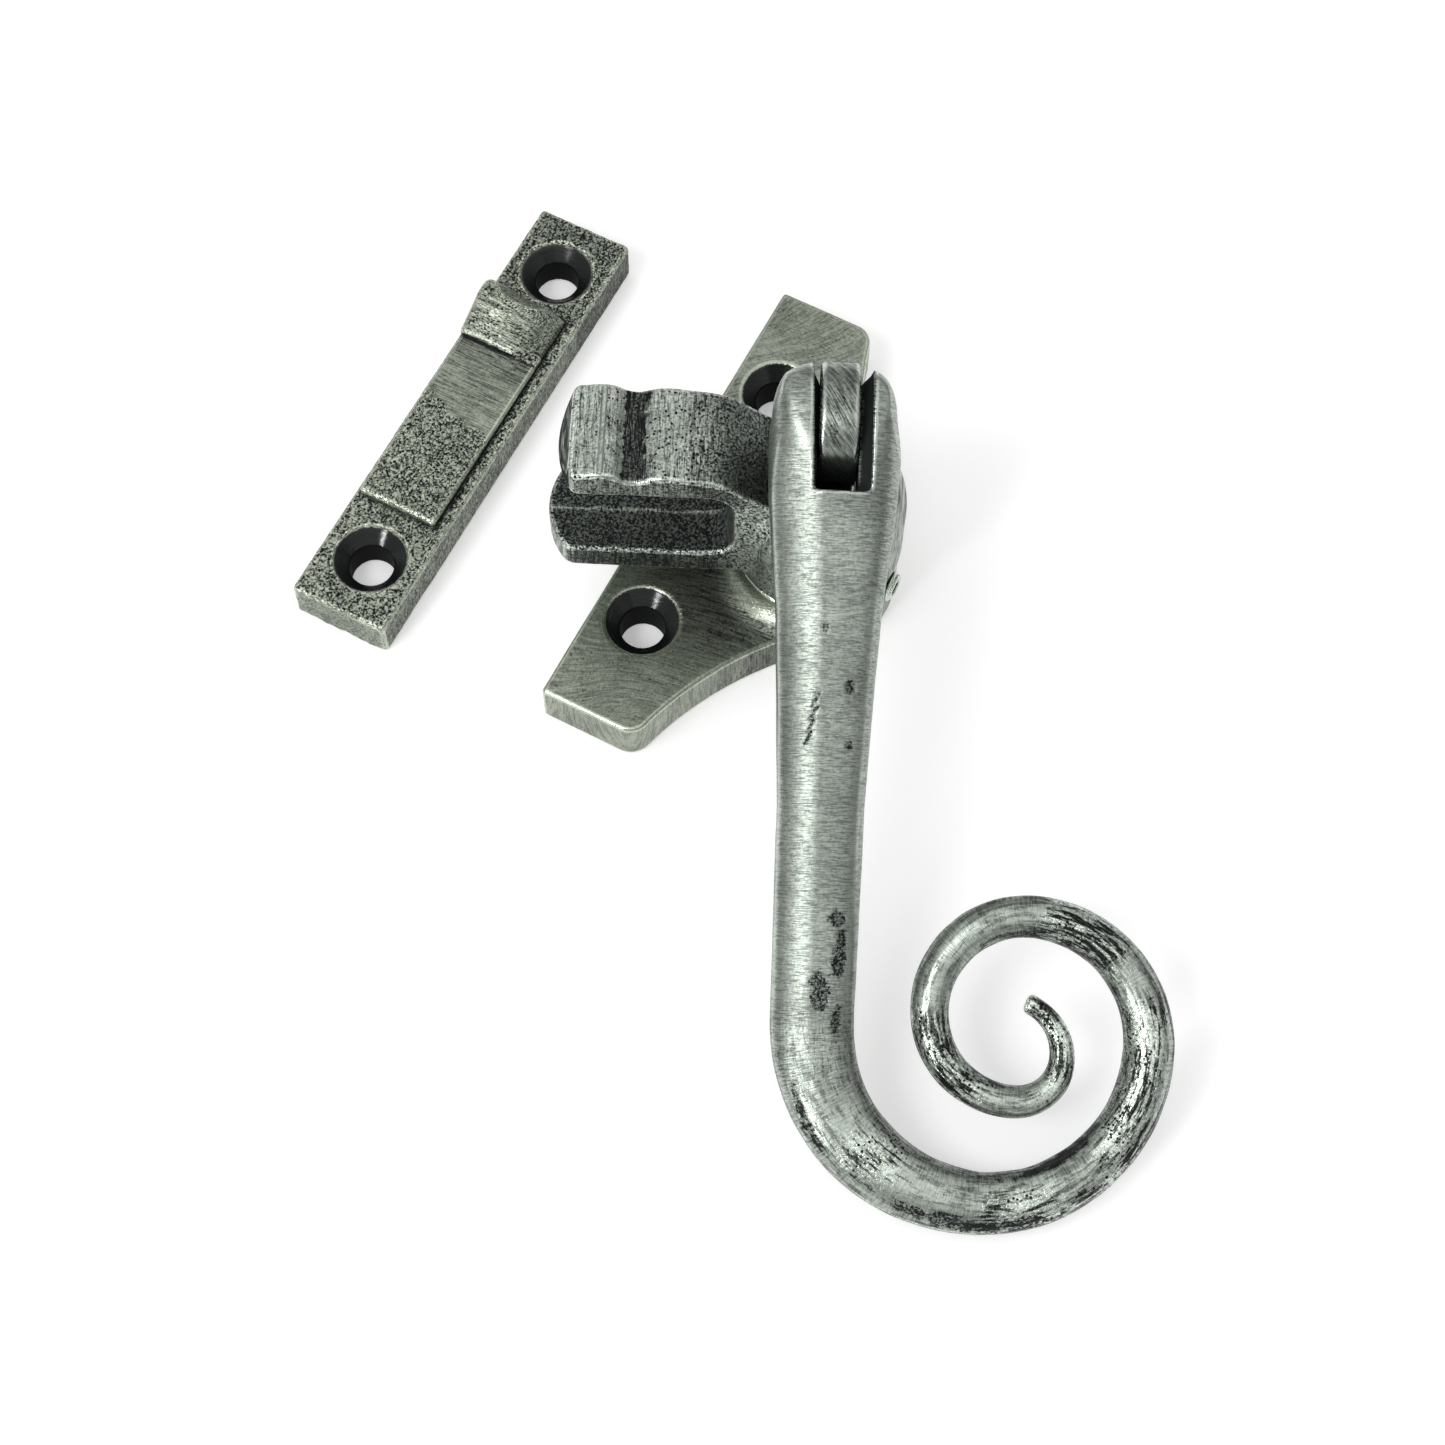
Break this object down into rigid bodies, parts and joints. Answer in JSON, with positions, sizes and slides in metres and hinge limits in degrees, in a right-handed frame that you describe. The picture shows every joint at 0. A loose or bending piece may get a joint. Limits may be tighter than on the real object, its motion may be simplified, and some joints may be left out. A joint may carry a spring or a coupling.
{
  "type": "casement window fastener",
  "caption": "Locking night-vent casement fastener: forked nose turning on a screwed base plate, hinged curled handle, locking grub screw and a separate hook plate.",
  "frame": {"origin": "on the nose pivot's axis, in the plane of the base plate's mounting face", "axes": "+Z leaves the mounting face towards the room, +Y runs along the base plate's straight edge, +X leads from the hook plate to the pivot and beyond"},
  "size_m": [0.1226, 0.103, 0.0452],
  "materials": {
    "ground_pewter": "iron with a pewter patina, ground flat with fine scratches and polished edges",
    "cast_pewter": "rough cast iron with a pewter patina, black in the pits and rubbed bright on the high spots",
    "forged_pewter": "forged bar with a pewter patina, file marks, dark pits and rubbed ridges",
    "polished_steel": "turned and polished",
    "spring_steel": "dark tempered",
    "dark_steel": "dark oiled"
  },
  "bodies": {
    "plate": {"base_plate": "ground_pewter", "thrust_washer": "polished_steel", "spring_washer": "spring_steel"},
    "nose": {"nose_arm": "cast_pewter", "spindle": "polished_steel", "retaining_washer": "dark_steel"},
    "handle": {"handle": "forged_pewter", "hinge_pin": "polished_steel"},
    "locking_screw": {"locking_screw": "dark_steel"},
    "hook_plate": {"hook_plate": "cast_pewter"}
  },
  "joints": [
    {"name": "fastener_turn", "type": "hinge", "parent": "plate", "child": "nose", "pos_m": [0, 0, 0.0103], "axis": [0, 0, 1], "range_deg": [-25.2, 64.8]},
    {"name": "handle_lift", "type": "hinge", "parent": "nose", "child": "handle", "pos_m": [0.0009, 0.00043, 0.0386], "axis": [-0.9048, -0.4258, 0], "range_deg": [0, 90]},
    {"name": "locking_screw_travel", "type": "slide", "parent": "plate", "child": "locking_screw", "axis": [1, 0, 0], "range_m": [-0.0008, 0.0015]},
    {"name": "hook_plate_set", "type": "slide", "parent": "plate", "child": "hook_plate", "axis": [1, 0, 0], "range_m": [0, 0.0203]}
  ]
}
